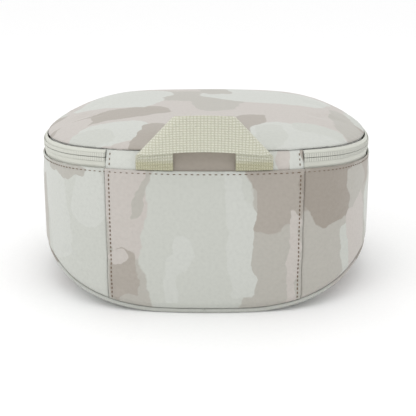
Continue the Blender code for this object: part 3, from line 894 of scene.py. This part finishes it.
class COOLERBAG_OT_hinge(BagOperator, bpy.types.Operator):
    """Strip of cloth that joins the lid to the back of the wall"""

    bl_idname = "cooler_bag.hinge"
    bl_label = "Hinge Strip"

    def execute(self, context):
        bottom, top = WALL_TOP - TAPE_LAP, LID_SEAM - FABRIC - GAP
        reach = SEAM

        def surface(distance, height):
            crease = 0.0003 * noise.noise(Vector((distance * 120, height * 90, 5.0)))
            belly = 0.0004 * bump(height, (WALL_TOP + top) / 2, 0.004)
            edge = reach - abs(distance)
            belly += 0.0007 * bump(edge, 0.0004, 0.0012) - 0.0004 * bump(edge, STITCH_IN, 0.0006)
            lift = (belly + crease) * smooth(height, WALL_TOP, WALL_TOP + 0.002)
            x, y = around(distance, strip_lean(height) - lift)
            return Vector((x, y, height - lid_droop(x)))

        shape = sewn_sheet(136, 24, lambda across, up: (
            surface(reach * (2 * across - 1), bottom + (top - bottom) * up),
            (reach * (2 * across - 1), bottom + (top - bottom) * up)))
        outwards(shape, from_axis)
        # The hinge cloth's colour is scaled to 1.08: painted light on the strip
        cloth = printed_cloth("printed_woven_polyester_hinge_painted_light", HINGE_PATCHES, 4.0, 1.08)
        strip = finish_piece(shape, "hinge_cloth", cloth, None, THIN_CLOTH, ("hinge_strip",))
        start, end = surface(0.0, WALL_TOP + 0.001), surface(0.0, top - 0.001)
        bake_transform(strip)

        shape = bmesh.new()
        for side in (-1, 1):
            distance = side * (SEAM - STITCH_IN)
            heights = evenly(WALL_TOP + 0.0010, top - 0.0012, context.scene.cooler_bag_sizes.seam_pitch)
            points = [surface(distance, height) + outward(distance) * STITCH_PROUD for height in heights]
            width = context.scene.cooler_bag_sizes.thread_width
            stitch_run(shape, points, [outward(distance)] * len(points), (0.0022, width))
        thread = finish_piece(shape, "hinge_topstitching", sewing_thread(), None)
        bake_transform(thread)
        return {"FINISHED"}


def zip_band(name, body, rows, profile, material, cad, ridged):
    """A strip along the zip, from one hinge seam to the other; profile(up) gives (inset, height)."""
    start, end = SEAM + GAP, ROUND - SEAM - GAP
    pitch = bpy.context.scene.cooler_bag_sizes.coil_pitch
    columns = round((end - start) / (pitch / 4)) if ridged else 420

    def place(across, up):
        distance = start + (end - start) * across
        inset, height = profile(up)
        if ridged:
            ridge = 0.5 + 0.5 * math.cos(2 * math.pi * distance / pitch)
            inset += 0.00045 * (1 - ridge ** 0.5) * math.sin(math.pi * up)
        else:
            inset += 0.00025 * noise.noise(Vector((distance * 60, height * 200, 8.0)))
        x, y = around(distance, inset)
        return Vector((x, y, height - lid_droop(x))), (distance, height)

    shape = sewn_sheet(columns, rows, place)
    outwards(shape, from_axis)
    return finish_piece(shape, name, material, body, 0.0004 if ridged else 0.0005, (cad,))


class COOLERBAG_OT_zip(BagOperator, bpy.types.Operator):
    """Both halves of the zip: its tapes and its coils"""

    bl_idname = "cooler_bag.zip"
    bl_label = "Zip"

    def execute(self, context):
        cloth = zip_cloth("woven_polyester_zip_tape", False)
        nylon = zip_cloth("nylon_zip_coil", True)
        split = 0.00022
        coil = 0.0026
        start = WALL_TOP - TAPE_LAP
        top = LID_SEAM - FABRIC - GAP

        def lower(up):
            height = start + (ZIP_LINE - split - start) * up
            inset = 0.0017 - 0.0004 * smooth(height, WALL_TOP, WALL_TOP + 0.0015)
            return inset, height

        def upper(up):
            height = ZIP_LINE + split + (top - ZIP_LINE - split) * up
            lean = smooth(height, TAPE_BEND - 0.001, top + 0.002)
            return 0.0014 + (LID_INSET - 0.0008) * lean, height

        def coil_profile(sign):
            def profile(up):
                height = ZIP_LINE + sign * (split + coil * up)
                return 0.0010 - 0.0005 * math.sin(math.pi * min(up * 0.75 + 0.16, 1.0)) ** 0.7, height
            return profile

        zip_band("lower_tape", "bag_body", 24, lower, cloth, "lower_zip_tape", False)
        zip_band("upper_tape", "lid", 10, upper, cloth, "upper_zip_tape", False)
        zip_band("lower_coil", "bag_body", 8, coil_profile(-1), nylon, "lower_zip_teeth", True)
        zip_band("upper_coil", "lid", 8, coil_profile(1), nylon, "upper_zip_teeth", True)
        return {"FINISHED"}


def rounded_block(size, width, segments=3):
    block = bmesh.new()
    bmesh.ops.create_cube(block, size=1.0)
    bmesh.ops.scale(block, vec=size, verts=block.verts)
    bmesh.ops.bevel(block, geom=block.edges[:], offset=width, segments=segments, profile=0.5, affect="EDGES",
                    material=-1)
    return block


def add_shape(target, source, turn):
    """Copy one bmesh into another, turned into place."""
    mesh = bpy.data.meshes.new("part")
    source.to_mesh(mesh)
    source.free()
    mesh.transform(turn)
    target.from_mesh(mesh)
    bpy.data.meshes.remove(mesh)


SLIDER_OUTER = BACK_RADIUS + 0.0007
SLIDER_INNER = BACK_RADIUS - 0.0040
PULL_OUT = SLIDER_OUTER + (BRIDGE_HEIGHT - BRIDGE_BAR) / 2
EYE = (0.0042, 0.004, 0.0024)
EYE_ALONG = 0.0027


def slider_frame(side, height):
    """Matrix maker for one slider: x runs along the zip, y outwards from the front arc's centre, z upwards."""
    out = Vector((side * SLIDER_SPACING, math.sqrt(BACK_RADIUS ** 2 - SLIDER_SPACING ** 2), 0)).normalized()
    along = Vector((out.y, -out.x, 0))
    turn = Matrix((along, out, Vector((0, 0, 1)))).transposed().to_4x4()

    def at(x, y):
        return Matrix.Translation(Vector((0, BACK_CENTRE, height)) + out * y + along * x) @ turn

    return at


def slider_bridge():
    """Half ring of wire that the pull tab's eye hangs on."""
    bridge = bmesh.new()
    bmesh.ops.create_circle(bridge, segments=12, radius=0.00055, cap_ends=False)
    bmesh.ops.rotate(bridge, verts=bridge.verts, matrix=Matrix.Rotation(math.pi / 2, 3, "X"))
    bmesh.ops.translate(bridge, verts=bridge.verts, vec=(EYE_ALONG, 0, 0))
    bmesh.ops.spin(bridge, geom=bridge.verts[:] + bridge.edges[:], cent=(0, 0, 0), axis=(0, 0, 1),
                   angle=math.pi, steps=16, use_duplicate=False)
    bmesh.ops.holes_fill(bridge, edges=[edge for edge in bridge.edges if edge.is_boundary], sides=0)
    for point in bridge.verts:
        point.co.y *= 0.85
    bmesh.ops.recalc_face_normals(bridge, faces=bridge.faces)
    return bridge


def slider_body(side, at):
    """Two plates, narrowed towards the open end, with a post between them and a bridge on the outer one."""
    shape = bmesh.new()
    for y in (SLIDER_OUTER, SLIDER_INNER):
        plate = rounded_block((0.0092, SLIDER_PLATE, 0.0064), 0.0003)
        for point in plate.verts:
            point.co.z *= 0.72 + 0.28 * smooth(side * point.co.x, -0.0046, 0.0010)
        add_shape(shape, plate, at(0, y - SLIDER_PLATE / 2))
    post = rounded_block((0.0026, SLIDER_OUTER - SLIDER_INNER + 0.0006, 0.0006), 0.0001, 1)
    add_shape(shape, post, at(0, (SLIDER_OUTER + SLIDER_INNER - SLIDER_PLATE) / 2))
    add_shape(shape, slider_bridge(), at(0, SLIDER_OUTER - 0.0001))
    bmesh.ops.recalc_face_normals(shape, faces=shape.faces)
    return shape


def pull_tab(side, at):
    tab = rounded_block((PULL_LENGTH, 0.0010, 0.0056), 0.00028)
    for point in tab.verts:
        reach = side * point.co.x / PULL_LENGTH + 0.5
        point.co.z *= 0.74 + 0.26 * smooth(reach, 0.05, 0.6)
    shape = bmesh.new()
    add_shape(shape, tab, at(side * (PULL_LENGTH / 2 - 0.0005), PULL_OUT))
    bmesh.ops.recalc_face_normals(shape, faces=shape.faces)
    return shape


def cut_eye(piece, side, at):
    """Cut the eye for the bridge through the pull tab, near its end."""
    shape = bmesh.new()
    add_shape(shape, rounded_block(EYE, 0.0005), at(side * EYE_ALONG, PULL_OUT))
    mesh = bpy.data.meshes.new("eye")
    shape.to_mesh(mesh)
    shape.free()
    cutter = bpy.data.objects.new("eye", mesh)
    bpy.context.scene.collection.objects.link(cutter)
    cut = piece.modifiers.new("eye", "BOOLEAN")
    cut.operation = "DIFFERENCE"
    cut.solver = "EXACT"
    cut.object = cutter
    result = bpy.data.meshes.new_from_object(piece.evaluated_get(bpy.context.evaluated_depsgraph_get()))
    piece.modifiers.clear()
    old = piece.data
    piece.data = result
    bpy.data.meshes.remove(old)
    bpy.data.objects.remove(cutter, do_unlink=True)
    bpy.data.meshes.remove(mesh)


class COOLERBAG_OT_sliders(BagOperator, bpy.types.Operator):
    """Two zip sliders with their pull tabs, at the front"""

    bl_idname = "cooler_bag.sliders"
    bl_label = "Sliders"

    def execute(self, context):
        metal = painted_zinc()
        for side, word in ((-1, "left"), (1, "right")):
            low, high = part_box(word + "_zip_slider")
            at = slider_frame(side, (low[2] + high[2]) / 2)
            finish_piece(slider_body(side, at), word + "_slider_body", metal, word + "_slider",
                         cad=(word + "_zip_slider",))
            pull = finish_piece(pull_tab(side, at), word + "_pull_tab", metal, word + "_pull",
                                cad=(word + "_zip_pull",))
            cut_eye(pull, side, at)
        return {"FINISHED"}


def webbing_point(across, along):
    """Middle surface of the handle's left half: rising, rolling forwards over a slanted line, then across."""
    left = -HANDLE_CENTRE - WEBBING_WIDTH / 2
    fold = Vector((math.cos(FOLD_ANGLE), math.sin(FOLD_ANGLE)))
    normal = Vector((-fold.y, fold.x))
    flat = Vector((across, along - HANDLE_CORNER))
    past = flat.dot(normal)
    shift = flat.dot(fold)
    roll = math.pi * FOLD_RADIUS
    if past <= 0:
        depth, lead = 0.0, past
    elif past < roll:
        turn = past / FOLD_RADIUS
        lead = FOLD_RADIUS * math.sin(turn)
        depth = FOLD_RADIUS - FOLD_RADIUS * math.cos(turn)
    else:
        depth, lead = 2 * FOLD_RADIUS, roll - past
    place = fold * shift + normal * lead
    x = left + place.x
    height = HANDLE_CORNER + place.y
    if past > 0 and x > -HANDLE_ARCH:
        slope = math.tan(2 * FOLD_ANGLE - math.pi / 2)
        height -= slope * (x + HANDLE_ARCH) ** 2 / (2 * HANDLE_ARCH)
    bow = BACK_RADIUS - math.sqrt(BACK_RADIUS ** 2 - x ** 2)
    y = -HALF_DEPTH + 0.0001 + bow - height * math.sin(HANDLE_LEAN) - depth * math.cos(HANDLE_LEAN)
    z = WALL_TOP + GAP + height * math.cos(HANDLE_LEAN) - depth * math.sin(HANDLE_LEAN)
    return Vector((x, y, z + WEBBING / 2 * math.sin(HANDLE_LEAN)))


class COOLERBAG_OT_handle(BagOperator, bpy.types.Operator):
    """Webbing handle, sewn behind the wall's top and folded forwards at both corners"""

    bl_idname = "cooler_bag.handle"
    bl_label = "Handle"

    def execute(self, context):
        def place(across, up):
            outer = WEBBING_WIDTH * across
            side = HANDLE_CENTRE + WEBBING_WIDTH / 2 - outer * math.cos(2 * FOLD_ANGLE)
            roll = math.pi * FOLD_RADIUS * math.sin(FOLD_ANGLE)
            reach = HANDLE_CORNER + (side + roll) / math.sin(2 * FOLD_ANGLE)
            point = webbing_point(outer, reach * up)
            if up == 1.0:
                point.x = 0.0
            return point, (outer, reach * (1 - up))

        shape = sewn_sheet(26, 150, place)
        half = shape.verts[:] + shape.edges[:] + shape.faces[:]
        bmesh.ops.mirror(shape, geom=half, axis="X", merge_dist=1e-5)
        bmesh.ops.remove_doubles(shape, verts=shape.verts, dist=1e-5)
        bmesh.ops.recalc_face_normals(shape, faces=shape.faces)
        piece = finish_piece(shape, "handle_webbing", woven_webbing(), "handle", 0.0,
                             ("carry_handle",))
        wall = piece.modifiers.new("thickness", "SOLIDIFY")
        wall.thickness = WEBBING - 0.0002
        wall.offset = 0
        soft = piece.modifiers.new("soft selvedge", "BEVEL")
        soft.width = 0.0004
        soft.segments = 2
        soft.limit_method = "ANGLE"
        soft.angle_limit = math.radians(50)
        return {"FINISHED"}


def ring_strip(name, profile, rows, material, body, thickness, cad, span=None):
    """A strip all the way round, or from -span to span; profile(up) gives (inset, height function)."""
    def place(across, up):
        distance = ROUND * across if span is None else span * (2 * across - 1)
        inset, height = profile(up)
        x, y = around(distance, inset)
        return Vector((x, y, height(x))), (distance, height(0.0))

    shape = sewn_sheet(240 if span is None else 60, rows, place)
    outwards(shape, from_axis)
    return finish_piece(shape, name, material, body, thickness, (cad,))


class COOLERBAG_OT_lining(BagOperator, bpy.types.Operator):
    """Lining film, foam and bindings inside the bag and under the lid"""

    bl_idname = "cooler_bag.lining"
    bl_label = "Lining"

    def execute(self, context):
        film = foil_lining()
        tape = binding_cloth()
        foam = cell_foam()
        for name in ("wall_foam", "base_foam", "lid_foam"):
            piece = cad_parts[name]
            for socket in piece.material_slots:
                socket.material = foam

        low = FLOOR_LINER + 0.0002

        def wall_place(across, up):
            distance = ROUND * across
            x, y = around(distance, LINER_IN)
            bottom, top = low + base_height(x), FOAM_TOP - lid_droop(x)
            height = bottom + (top - bottom) * up
            sag = 0.0005 * noise.noise(Vector((distance * 26, height * 30, 9.0))) * math.sin(math.pi * up)
            x, y = around(distance, LINER_IN + max(0.0, sag + 0.0001))
            return Vector((x, y, height)), (distance, height)

        shape = sewn_sheet(300, 30, wall_place)
        outwards(shape, from_axis)
        wall = finish_piece(shape, "wall_lining", film, "bag_body", THIN_CLOTH, ("wall_liner",))

        def flat_place(inset, height):
            def place(across, up):
                distance = ROUND * across
                x, y = around(distance, inset)
                x, y = x * (1 - up), y * (1 - up)
                ripple = 0.0003 * noise.noise(Vector((x * 40, y * 40, 6.0)))
                ripple *= math.sin(math.pi * min(up * 3, 0.5))
                return Vector((x, y, height(x, 1 - up) - abs(ripple))), (x, y)
            return place

        floor_top = FLOOR_LINER + LINER

        def floor_height(x, reach):
            return floor_top + base_height(x) + 0.0001

        inset = LINER_IN + LINER + GAP
        shape = sewn_sheet(200, 24, flat_place(inset, floor_height))
        outwards(shape, upwards)
        floor = finish_piece(shape, "base_lining", film, "bag_body", THIN_CLOTH, ("base_liner",))

        under = LID_SEAM - FABRIC - FOAM - 2 * GAP

        def lid_under(x, reach):
            return under - lid_droop(x) + LID_CROWN * (1 - reach ** LID_FULLNESS) - 0.0001

        shape = sewn_sheet(200, 24, flat_place(LID_PAD_IN, lid_under))
        outwards(shape, downwards)
        lid = finish_piece(shape, "lid_lining", film, "lid", THIN_CLOTH, ("lid_liner",))
        lid.modifiers["thickness"].thickness = 0.0005
        lid.modifiers["thickness"].offset = 1

        def following(height):
            return lambda x: height - lid_droop(x)

        depth = LINER_IN + LINER - BINDING_IN
        first, last = FOAM_TOP + GAP, WALL_TOP - BINDING_DROP

        def mouth(up):
            # Up the outer face, over the rounded top and down the inner face
            tall = last - depth / 2 - first
            if up < 0.4:
                return BINDING_IN + 0.0001, following(first + tall * up / 0.4)
            if up > 0.6:
                return BINDING_IN + depth - 0.0001, following(first + tall * (1 - up) / 0.4)
            turn = math.pi * (up - 0.4) / 0.2
            inset = BINDING_IN + depth / 2 - (depth / 2 - 0.0001) * math.cos(turn)
            return inset, following(last - depth / 2 + (depth / 2 - 0.0001) * math.sin(turn))

        ring_strip("mouth_bound_edge", mouth, 20, tape, "bag_body", 0.0005, "mouth_binding")

        edge_top = under - LINER - GAP

        def lid_edge(up):
            inset = LID_PAD_IN + 0.0002 - 0.0001 * math.sin(math.pi * up)
            return inset, following(edge_top - 0.0022 * (1 - up))

        ring_strip("lid_bound_edge", lid_edge, 6, tape, "lid", 0.0012, "lid_binding")

        lining_top = LID_SEAM - FABRIC - FOAM - LINER - 6 * GAP
        bottom = WALL_TOP - BINDING_DROP + GAP

        def behind(up):
            height = bottom + (lining_top - bottom) * up
            return strip_lean(height) + TAPE + GAP, following(height)

        ring_strip("hinge_inner_cloth", behind, 6, film, "bag_body", THIN_CLOTH, "hinge_lining",
                   SEAM - 2 * GAP)
        return {"FINISHED"}


class COOLERBAG_OT_stage(BagOperator, bpy.types.Operator):
    """Pale floor, soft studio light and camera"""

    bl_idname = "cooler_bag.stage"
    bl_label = "Stage"

    def execute(self, context):
        scene = context.scene
        floor = bmesh.new()
        bmesh.ops.create_grid(floor, x_segments=4, y_segments=4, size=6.0)
        mesh = bpy.data.meshes.new("studio_floor")
        floor.to_mesh(mesh)
        floor.free()
        mesh.materials.append(studio_floor())
        ground = bpy.data.objects.new("studio_floor", mesh)
        scene.collection.objects.link(ground)

        world = bpy.data.worlds.new("studio")
        world.use_nodes = True
        sky = world.node_tree.nodes["Background"]
        sky.inputs["Color"].default_value = (1.0, 1.0, 1.0, 1.0)
        sky.inputs["Strength"].default_value = 1.0
        scene.world = world

        lights = (("key", (-0.7, -0.7, 0.9), 0.7, 1.6), ("top", (0.0, 0.1, 1.2), 0.8, 1.2))
        for name, place, size, power in lights:
            data = bpy.data.lights.new(name, "AREA")
            data.shape = "DISK"
            data.size = size
            data.energy = power
            lamp = bpy.data.objects.new(name, data)
            lamp.location = place
            lamp.rotation_euler = (Vector((0, 0, 0.06)) - Vector(place)).to_track_quat("-Z", "Y").to_euler()
            scene.collection.objects.link(lamp)

        data = bpy.data.cameras.new("camera")
        data.sensor_width = 36.0
        data.lens = 82.07
        data.shift_x = 0.0041
        data.shift_y = -0.0012
        camera = bpy.data.objects.new("camera", data)
        camera.location = (0.0081, -0.7227, 0.2641)
        camera.rotation_euler = (math.pi / 2 - 0.2986, 0.0, 0.0112)
        scene.collection.objects.link(camera)
        scene.camera = camera
        scene.view_settings.view_transform = "Standard"
        return {"FINISHED"}


class COOLERBAG_PT_panel(bpy.types.Panel):
    """Builds the bag piece by piece"""

    bl_idname = "COOLERBAG_PT_panel"
    bl_label = "Cooler Bag"
    bl_space_type = "VIEW_3D"
    bl_region_type = "UI"
    bl_category = "Cooler Bag"

    def draw(self, context):
        layout = self.layout
        for group in (context.scene.cooler_bag_sizes, context.scene.cooler_bag_colours):
            box = layout.box()
            for name in group.__annotations__:
                box.prop(group, name)
        for operator in OPERATORS:
            layout.operator(operator.bl_idname)


OPERATORS = (COOLERBAG_OT_wall, COOLERBAG_OT_base, COOLERBAG_OT_lid, COOLERBAG_OT_hinge, COOLERBAG_OT_zip,
             COOLERBAG_OT_sliders, COOLERBAG_OT_handle, COOLERBAG_OT_lining, COOLERBAG_OT_stage)
CLASSES = (BagSizes, BagColours, *OPERATORS, COOLERBAG_PT_panel)


def register():
    for item in CLASSES:
        bpy.utils.register_class(item)
    bpy.types.Scene.cooler_bag_sizes = PointerProperty(type=BagSizes)
    bpy.types.Scene.cooler_bag_colours = PointerProperty(type=BagColours)


def unregister():
    del bpy.types.Scene.cooler_bag_colours
    del bpy.types.Scene.cooler_bag_sizes
    for item in reversed(CLASSES):
        bpy.utils.unregister_class(item)


def main():
    register()
    bpy.ops.cooler_bag.wall()
    bpy.ops.cooler_bag.base()
    bpy.ops.cooler_bag.lid()
    bpy.ops.cooler_bag.hinge()
    bpy.ops.cooler_bag.zip()
    bpy.ops.cooler_bag.sliders()
    bpy.ops.cooler_bag.handle()
    bpy.ops.cooler_bag.lining()
    bpy.ops.cooler_bag.stage()


if __name__ == "__main__":
    main()
